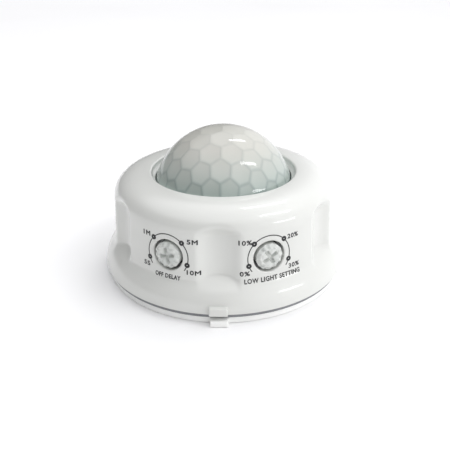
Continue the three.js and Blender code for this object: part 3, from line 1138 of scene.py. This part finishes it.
@dataclass
class Lens:
    """The domed lens: smooth outside, a honeycomb of small lenses inside, on a flat flange."""

    centre: float = 26.75
    outer: float = 24.5
    inner: float = 23.3
    flange: float = 28.4
    flange_top: float = 26.7
    flange_bottom: float = 25.3
    pitch: float = 17.5
    facet_depth: float = 0.5
    groove_depth: float = 0.3
    groove_reach: float = 0.9
    front: float = -2.4
    segments: int = 400
    rings: int = 110

    def cells(self, azimuth: Array, polar: Array) -> tuple[Array, Array]:
        """Place points among the small lenses.

        The dome is laid flat with its polar angle as radius. The middles of the small lenses are a
        hexagonal lattice of the given pitch with a corner of three cells on the axis: rows are pitch
        root(3) / 2 apart, and every other row is shifted by half a pitch.

        Args:
            azimuth: Azimuth in degrees.
            polar: Angle from the lens axis in degrees.

        Returns:
            Distance from the nearest middle as a fraction of that to a corner, and distance from the
            nearest edge in millimetres: (second^2 - nearest^2) / (2 pitch).
        """
        turn = np.radians(azimuth - self.front)
        x, y = polar * np.sin(turn), polar * np.cos(turn)
        corner, row_step = self.pitch / np.sqrt(3), self.pitch * np.sqrt(3) / 2
        nearest_row = np.round((y + corner) / row_step)
        squares = []
        for row in (nearest_row - 1, nearest_row, nearest_row + 1):
            shift = np.mod(row, 2) * self.pitch / 2
            column = np.round((x - shift) / self.pitch)
            for side in (-1, 0, 1):
                across = x - shift - (column + side) * self.pitch
                squares.append(across**2 + (y + corner - row * row_step) ** 2)
        first, second = np.partition(np.stack(squares), 1, axis=0)[:2]
        edge = (second - first) / (2 * self.pitch) * np.radians(self.inner)
        return np.sqrt(first) / corner, edge

    def swell(self, azimuth: Array, polar: Array) -> Array:
        """Swell the inner face inwards: a paraboloid per cell, less a groove at its edges.

        Args:
            azimuth: Azimuth in degrees.
            polar: Angle from the lens axis in degrees.

        Returns:
            The swell in millimetres.
        """
        middle, edge = self.cells(azimuth, polar)
        groove = self.groove_depth * (1 - smooth_step(0, self.groove_reach, edge))
        return (self.facet_depth * (1 - middle**2) - groove) * smooth_step(90, 84, polar)

    def build(self) -> None:
        """Make the lens and dress its polished and faceted faces."""
        azimuth = np.linspace(0, 360, self.segments, endpoint=False)
        polar = np.linspace(90, 0, self.rings)[:, None]
        inner_radius = self.inner - self.swell(azimuth[None, :], polar)
        rim = np.array([
            [self.inner, self.flange_bottom], [self.flange - 0.2, self.flange_bottom],
            [self.flange, self.flange_bottom + 0.2], [self.flange, self.flange_top - 0.2],
            [self.flange - 0.2, self.flange_top], [self.outer + 0.1, self.flange_top],
        ])
        lean = np.radians(polar)
        wide, skin = (len(rim), self.segments), (self.rings, self.segments)
        radius = np.vstack([
            np.broadcast_to(rim[:, :1], wide),
            np.broadcast_to(self.outer * np.sin(lean), skin),
            (inner_radius * np.sin(lean))[::-1],
        ])
        z = np.vstack([
            np.broadcast_to(rim[:, 1:], wide),
            np.broadcast_to(self.centre + self.outer * np.cos(lean), skin),
            (self.centre + inner_radius * np.cos(lean))[::-1],
        ])
        angle = np.radians(azimuth)
        points = np.stack([radius * np.sin(angle), -radius * np.cos(angle), z], axis=-1)
        lens = make_piece("dome_lens", points, grid_faces(len(radius), self.segments, True, True), 60)
        self.mark_facets(lens.data)
        dress(lens, LENS, "lens", Body.HEAD, "fresnel_lens")

    def mark_facets(self, mesh: bpy.types.Mesh) -> None:
        """Store at each point how near the edge of a cell it is, which the finish darkens as painted shade,
        and the height of the facet there from 0 to 1.

        Args:
            mesh: The lens's mesh.
        """
        place = np.empty(len(mesh.vertices) * 3)
        mesh.vertices.foreach_get("co", place)
        x, y, z = (place.reshape(-1, 3) / MM - [0, 0, self.centre]).T
        azimuth, polar = np.degrees(np.arctan2(x, -y)), np.degrees(np.arctan2(np.hypot(x, y), z))
        middle, edge = self.cells(azimuth, polar)
        on_dome = 1 - smooth_step(91, 93, polar)
        near_edge = 1 - smooth_step(0, self.groove_reach, edge)
        values = {"crease_shade": near_edge * on_dome, "facet": middle**2 * on_dome}
        for name, value in values.items():
            mesh.attributes.new(name, "FLOAT", "POINT").data.foreach_set("value", value)


@dataclass
class Gasket:
    """Silicone band between the cover's skirt and the base."""

    inner: float = 38.6
    outer: float = 42.3
    bottom: float = 2.35
    top: float = 3.66
    edge: float = 0.3

    def build(self) -> None:
        """Make the band with rounded outer edges and dress it."""
        profile = np.vstack([
            [[self.inner, self.bottom]],
            arc((self.outer - self.edge, self.bottom + self.edge), self.edge, -90, 0, 6),
            arc((self.outer - self.edge, self.top - self.edge), self.edge, 0, 90, 6),
            [[self.inner, self.top]],
        ])
        dress(turned("seal_band", profile, 320), SILICONE, "gasket", Body.HEAD, "cover_gasket")


# ---------------------------------------------------------------- the base


@dataclass
class Base:
    """Base plate: a disc with the bayonet's wall, hooks and stops, the front tab, and its holes."""

    radius: float = 41.9
    thickness: float = 2.3
    wall: tuple[float, float] = (33.6, 35.2)
    wall_top: float = 6.4
    hook_radii: tuple[float, float] = (31.4, 34.2)
    hook_azimuths: tuple[float, ...] = (0.0, 120.0, 240.0)
    hook_ends: tuple[float, float] = (-12.37, 11.23)
    hook_heights: tuple[float, float] = (5.0, 6.31)
    stop_radii: tuple[float, float] = (31.44, 34.15)
    stop_ends: tuple[float, float] = (-12.3, -8.8)
    ring_segments: int = 157
    socket_seat: tuple[float, float] = (13.8, 14.9)
    tab_azimuth: float = -2.2
    tab_size: tuple[float, float, float] = (5.8, 4.4, 2.2)
    fixing_offset: float = 23.0
    fixing_radius: float = 2.0
    entry_offset: float = 22.0
    entry_radius: float = 6.0

    def ring(self, name: str, radii: tuple[float, float], heights: tuple[float, float]) -> bpy.types.Object:
        """Make a plain ring with its outer top edge broken.

        Args:
            name: The ring's name.
            radii: Inner and outer radius.
            heights: Lowest and highest z.

        Returns:
            The closed ring.
        """
        (inner, outer), (low, high) = radii, heights
        profile = [[inner, low], [outer, low], [outer, high - 0.2], [outer - 0.2, high], [inner, high]]
        return turned(name, np.array(profile), self.ring_segments)

    def drill(self, name: str, radius: float, sink: float, x: float, y: float) -> bpy.types.Object:
        """Make the tool for a hole through the plate, with a conical sink on the inner side.

        Args:
            name: The tool's name.
            radius: Radius of the hole.
            sink: Depth of the sink.
            x: Place of the hole on x.
            y: Place of the hole on y.

        Returns:
            The closed tool.
        """
        turn = np.linspace(0, 2 * np.pi, 48, endpoint=False)
        top = self.thickness + 0.4
        profile = np.array([
            [0, -1], [radius, -1], [radius, self.thickness - sink], [radius + sink + 0.4, top], [0, top],
        ])
        rho, z = profile[:, :1], profile[:, 1:]
        points = np.stack([x + rho * np.cos(turn), y + rho * np.sin(turn),
                           np.broadcast_to(z, (len(profile), len(turn)))], axis=-1)
        tool = make_piece(name, points, grid_faces(len(profile), len(turn), False, True))
        face_outwards(tool)
        return tool

    def build(self) -> None:
        """Make the base plate and dress it."""
        profile = np.vstack([
            [[0, 0]],
            line((6, 0), (self.radius - 3.2, 0), 6),
            [[self.radius - 3.0, 0.25], [self.radius - 2.2, 0.25], [self.radius - 2.0, 0]],
            arc((self.radius - 0.5, 0.5), 0.5, -90, 0, 7),
            arc((self.radius - 0.3, self.thickness - 0.3), 0.3, 0, 90, 5),
            line((34, self.thickness), (0, self.thickness), 5),
        ])
        plate = turned("base_disc", profile, 320)
        seat = self.thickness - 0.2
        tab_place = np.array([0, -(44.4 - self.tab_size[1] / 2), 1.163])
        tools = [
            (Cut.JOIN, self.ring("bayonet_wall", self.wall, (seat, self.wall_top))),
            (Cut.JOIN, self.ring("socket_wall", self.socket_seat, (seat, 4.2))),
            (Cut.JOIN, rounded_block("base_tab", self.tab_size, tab_place, self.tab_azimuth, 0.4)),
        ]
        for i, azimuth in enumerate(self.hook_azimuths):
            hook_span = tuple(azimuth + end for end in self.hook_ends)
            stop_span = tuple(azimuth + end for end in self.stop_ends)
            hook = arc_bar(f"hook_{i}", self.hook_radii, hook_span, self.hook_heights)
            stop = arc_bar(f"stop_{i}", self.stop_radii, stop_span, (seat, self.hook_heights[0] + 0.13))
            tools += [(Cut.JOIN, hook), (Cut.JOIN, stop)]
        tools += [
            (Cut.REMOVE, self.drill(f"fixing_{side}", self.fixing_radius, 1.2, side * self.fixing_offset, 0))
            for side in (-1, 1)
        ]
        tools.append((Cut.REMOVE, self.drill("entry", self.entry_radius, 0.0, 0, self.entry_offset)))
        carve(plate, tools, 35)
        # the base gets the whiter copy of the plastic as painted light
        dress(plate, LIT_BASE_PLASTIC, "white_housing", Body.BASE, "base_plate")
        self.grommet()

    def grommet(self) -> None:
        """Make the grommet in the wire entry, a sleeve with a rounded lip inside, and dress it."""
        lip = self.thickness + 1.1
        profile = np.vstack([
            arc((4.7, 0.6), 0.3, 180, 270, 5),
            arc((5.5, 0.6), 0.3, -90, 0, 5),
            [[5.8, self.thickness + 0.1], [6.2, self.thickness + 0.1]],
            arc((6.2, lip - 0.4), 0.3, -45, 90, 7),
            arc((4.8, lip - 0.5), 0.4, 90, 180, 6),
        ])
        sleeve = turned("entry_sleeve", profile, 64)
        sleeve.data.transform(Matrix.Translation((0, self.entry_offset * MM, 0)))
        dress(sleeve, DARK_SILICONE, "grommet", Body.BASE, "wire_grommet")


# ---------------------------------------------------------------- carried-over CAD nodes


@dataclass(frozen=True)
class CarriedOver:
    """CAD nodes whose shape is right as it is, and the finish each group of them gets."""

    groups: dict[Finish, tuple[str, ...]] = field(default_factory=lambda: {
        HOUSING: ("chassis",),
        BLACK_NYLON: (
            "contact_socket", "lens_ring", "board_spacer_1", "board_spacer_2", "board_spacer_3",
            "pir_holder", "control_chip", "input_fuse", "time_potentiometer", "dim_potentiometer",
        ),
        # the seals get the paler silicone as painted light
        LIT_SILICONE: ("time_seal", "dim_seal"),
        SOLDER_MASK: ("power_board", "sensor_board"),
        BRASS: ("line_blade", "neutral_blade", "dimming_blade", "line_clip", "neutral_clip", "dimming_clip"),
        STEEL: (
            "board_screw_1", "board_screw_2", "board_screw_3", "cover_screw_1", "cover_screw_2",
            "cover_screw_3", "cover_screw_4",
        ),
        NICKEL_CAN: ("pir_sensor",),
        SILICON_FILTER: ("pir_window",),
        CLEAR_EPOXY: ("light_sensor",),
        FERRITE: ("transformer_core", "input_choke"),
        POLYESTER_TAPE: ("transformer_winding",),
        FILM_CASE: ("film_capacitor",),
        SHRINK_SLEEVE: ("bulk_capacitor",),
    })

    def build(self) -> None:
        """Put each group's finish in its nodes' own material slots."""
        for finish, names in self.groups.items():
            for name in names:
                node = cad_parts[name]
                node.data.materials.clear()
                node.data.materials.append(finish.material())
            LOG.info("%s on %d carried-over nodes", finish.name, len(names))


# ---------------------------------------------------------------- the studio


@dataclass(frozen=True)
class Strip:
    """A narrow soft light that runs from one direction to another, seen from the lens, and faces it."""

    name: str
    start: tuple[float, float, float]
    end: tuple[float, float, float]
    width: float
    brightness: float
    distance: float = 0.6

    def build(self, target: Vector) -> None:
        """Hang the light and face it towards the target.

        Args:
            target: The point it faces, in metres.
        """
        first, last = Vector(self.start).normalized(), Vector(self.end).normalized()
        middle = (first + last).normalized()
        along = (last - first) * self.distance
        data = bpy.data.lights.new(self.name, "AREA")
        data.shape, data.size, data.size_y = "RECTANGLE", along.length, self.width
        data.energy = self.brightness * np.pi * along.length * self.width
        side = along.normalized()
        up = middle.cross(side).normalized()
        side = up.cross(middle)
        lamp = bpy.data.objects.new(self.name, data)
        turn = Matrix((side, up, middle)).transposed().to_4x4()
        lamp.matrix_world = Matrix.Translation(target + middle * self.distance) @ turn
        bpy.context.scene.collection.objects.link(lamp)


@dataclass(frozen=True)
class Studio:
    """White table, soft light that is a little stronger from the right, and the camera."""

    camera_place: tuple[float, float, float] = (0.407, -197.656, 110.429)
    camera_tilt: float = 63.965
    camera_roll: float = -0.539
    lens: float = 48.0
    left_sky: float = 0.12
    right_sky: float = 1.12
    top_sky: tuple[float, float] = (1.33, 1.48)
    floor_size: float = 4000.0
    strips: tuple[Strip, ...] = (
        Strip("key_strip", (0.412, -0.267, 0.871), (0.732, -0.041, 0.68), 0.055, 9.0),
        Strip("back_strip", (0.114, 0.423, 0.899), (0.393, 0.511, 0.764), 0.05, 9.0),
        Strip("front_strip", (0.724, -0.627, 0.289), (0.941, -0.293, 0.167), 0.045, 9.0),
    )

    def build(self) -> None:
        """Set the camera, the floor, the sky and the lamps."""
        scene = bpy.context.scene
        camera = bpy.data.objects.new("camera", bpy.data.cameras.new("camera"))
        camera.data.lens, camera.data.sensor_width = self.lens, 36.0
        camera.data.clip_start = 0.01
        tilt = Matrix.Rotation(np.radians(self.camera_tilt), 4, "X")
        roll = Matrix.Rotation(np.radians(self.camera_roll), 4, "Z")
        camera.matrix_world = Matrix.Translation(Vector(self.camera_place) * MM) @ tilt @ roll
        scene.collection.objects.link(camera)
        scene.camera = camera
        scene.view_settings.view_transform = "Standard"
        self.floor()
        self.light_sky(scene)
        for strip in self.strips:
            strip.build(Vector((0, 0, 0.03)))

    def floor(self) -> None:
        """Lay the pale table top, just under the base."""
        half = self.floor_size / 2
        x, y = np.array([-half, half, half, -half]), np.array([-half, -half, half, half])
        corners = np.column_stack([x, y, np.full(4, -0.02)])
        floor = make_piece("table_top", corners, np.array([[0, 1, 2, 3]]))
        white = Finish("matt_white_table", "fdfdfd", "fafafa", 300, 0.9, 0.05, 5, 0.01)
        floor.data.materials.append(white.material())

    def light_sky(self, scene: bpy.types.Scene) -> None:
        """Light the sky: bright overhead and on the right, dim low on the left, seen as plain white.

        Args:
            scene: The scene whose world it is.
        """
        world = bpy.data.worlds.new("studio")
        scene.world = world
        world.use_nodes = True
        tree = world.node_tree
        tree.nodes.clear()
        toward = add_node(tree, "ShaderNodeTexCoord").outputs["Generated"]
        axes = add_node(tree, "ShaderNodeSeparateXYZ", None, {0: toward})
        soft = {"interpolation_type": "SMOOTHSTEP"}
        sides = add_node(tree, "ShaderNodeMapRange", soft, {
            "Value": axes.outputs["X"], "From Min": -0.05, "From Max": 0.4, "To Min": self.left_sky,
            "To Max": self.right_sky,
        })
        tops = add_node(tree, "ShaderNodeMapRange", soft, {
            "Value": axes.outputs["X"], "From Min": -0.6, "From Max": 0.2, "To Min": self.top_sky[0],
            "To Max": self.top_sky[1],
        })
        overhead = add_node(tree, "ShaderNodeMapRange", soft, {
            "Value": axes.outputs["Z"], "From Min": 0.55, "From Max": 0.8,
        })
        strength = add_node(tree, "ShaderNodeMix", {"data_type": "FLOAT"}, {
            0: overhead.outputs[0], 2: sides.outputs[0], 3: tops.outputs[0],
        })
        seen = add_node(tree, "ShaderNodeLightPath").outputs["Is Camera Ray"]
        shown = add_node(tree, "ShaderNodeMix", {"data_type": "FLOAT"}, {
            0: seen, 2: strength.outputs[0], 3: 1.0,
        })
        light = add_node(
            tree, "ShaderNodeBackground", None, {"Color": linear("fdfdff"), "Strength": shown.outputs[0]}
        )
        add_node(tree, "ShaderNodeOutputWorld", None, {"Surface": light.outputs[0]})


# ---------------------------------------------------------------- assembly


def main() -> None:
    """Build the sensor's sub-assemblies in order, then the studio."""
    logging.basicConfig(level=logging.INFO, format="%(name)s: %(message)s")
    time_dial = Dial("time", -27.0, Body.TIME_DIAL, [
        Label("1M", -7.95, 5.8, 2.9), Label("5M", 8.55, 5.75, 3.5), Label("5S", -8.15, -4.75, 2.6),
        Label("10M", 8.85, -4.6, 4.5), Label("OFF DELAY", -0.05, -7.1, 9.2, 1.5),
    ], 12)
    dim_dial = Dial("dim", 21.3, Body.DIM_DIAL, [
        Label("10%", -7.9, 5.7, 4.2), Label("20%", 8.5, 5.4, 4.2), Label("0%", -8.1, -4.7, 3.2),
        Label("30%", 9.0, -4.9, 4.2), Label("LOW LIGHT SETTING", 1.5, -7.35, 19.6, 1.55),
    ], 30)
    Base().build()
    Gasket().build()
    Cover().build([time_dial, dim_dial])
    Lens().build()
    CarriedOver().build()
    Studio().build()


if __name__ == "__main__":
    main()
